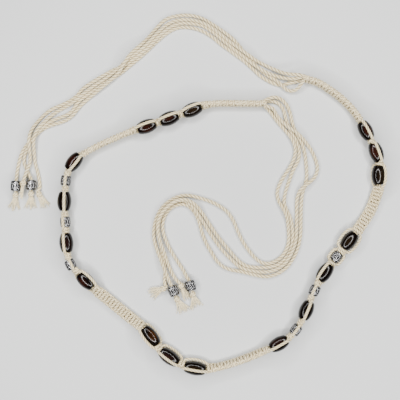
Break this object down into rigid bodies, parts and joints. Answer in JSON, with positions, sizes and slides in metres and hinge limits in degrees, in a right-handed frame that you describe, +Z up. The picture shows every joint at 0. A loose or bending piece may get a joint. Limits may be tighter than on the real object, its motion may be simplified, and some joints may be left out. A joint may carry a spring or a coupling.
{
  "type": "beaded tie belt",
  "caption": "Knotted cotton cord tie belt with barrel-shaped wooden and small metal beads, laid open in a loop, with free cords to tie at each end.",
  "frame": {"origin": "on the table under the middle of the belt's own outline, without its free cords", "axes": "+Z up from the table, +X to the right and +Y to the top of the open loop as it lies"},
  "size_m": [0.3395, 0.3263, 0.0188],
  "materials": {
    "cotton": "matt unbleached cotton cord, twisted",
    "wood": "dark red-brown turned wood, polished",
    "metal": "antiqued silver-coloured metal, darkened in its grooves"
  },
  "bodies": {
    "root": {"knotted_band_1": "cotton", "knotted_band_2": "cotton", "knotted_band_3": "cotton", "knotted_band_4": "cotton", "knotted_band_5": "cotton", "knotted_band_6": "cotton", "beaded_run_cords_1": "cotton", "beaded_run_cords_2": "cotton", "beaded_run_cords_3": "cotton", "beaded_run_cords_4": "cotton", "beaded_run_cords_5": "cotton", "free_cord_a1": "cotton", "free_cord_a2": "cotton", "free_cord_a3": "cotton", "free_cord_a4": "cotton", "free_cord_b1": "cotton", "free_cord_b2": "cotton", "free_cord_b3": "cotton", "free_cord_b4": "cotton", "end_knot_a1": "cotton", "end_knot_a2": "cotton", "end_knot_a3": "cotton", "end_knot_a4": "cotton", "end_knot_b1": "cotton", "end_knot_b2": "cotton", "end_knot_b3": "cotton", "end_knot_b4": "cotton", "wood_bead_1": "wood", "wood_bead_2": "wood", "wood_bead_3": "wood", "wood_bead_4": "wood", "wood_bead_5": "wood", "wood_bead_6": "wood", "wood_bead_7": "wood", "wood_bead_8": "wood", "wood_bead_9": "wood", "wood_bead_10": "wood", "wood_bead_11": "wood", "wood_bead_12": "wood", "wood_bead_13": "wood", "wood_bead_14": "wood", "wood_bead_15": "wood", "wood_bead_16": "wood", "wood_bead_17": "wood", "metal_bead_1": "metal", "metal_bead_2": "metal", "metal_bead_3": "metal", "metal_bead_4": "metal", "metal_bead_5": "metal", "metal_bead_6": "metal", "cord_bead_a1": "metal", "cord_bead_a2": "metal", "cord_bead_b1": "metal", "cord_bead_b3": "metal"}
  },
  "joints": []
}
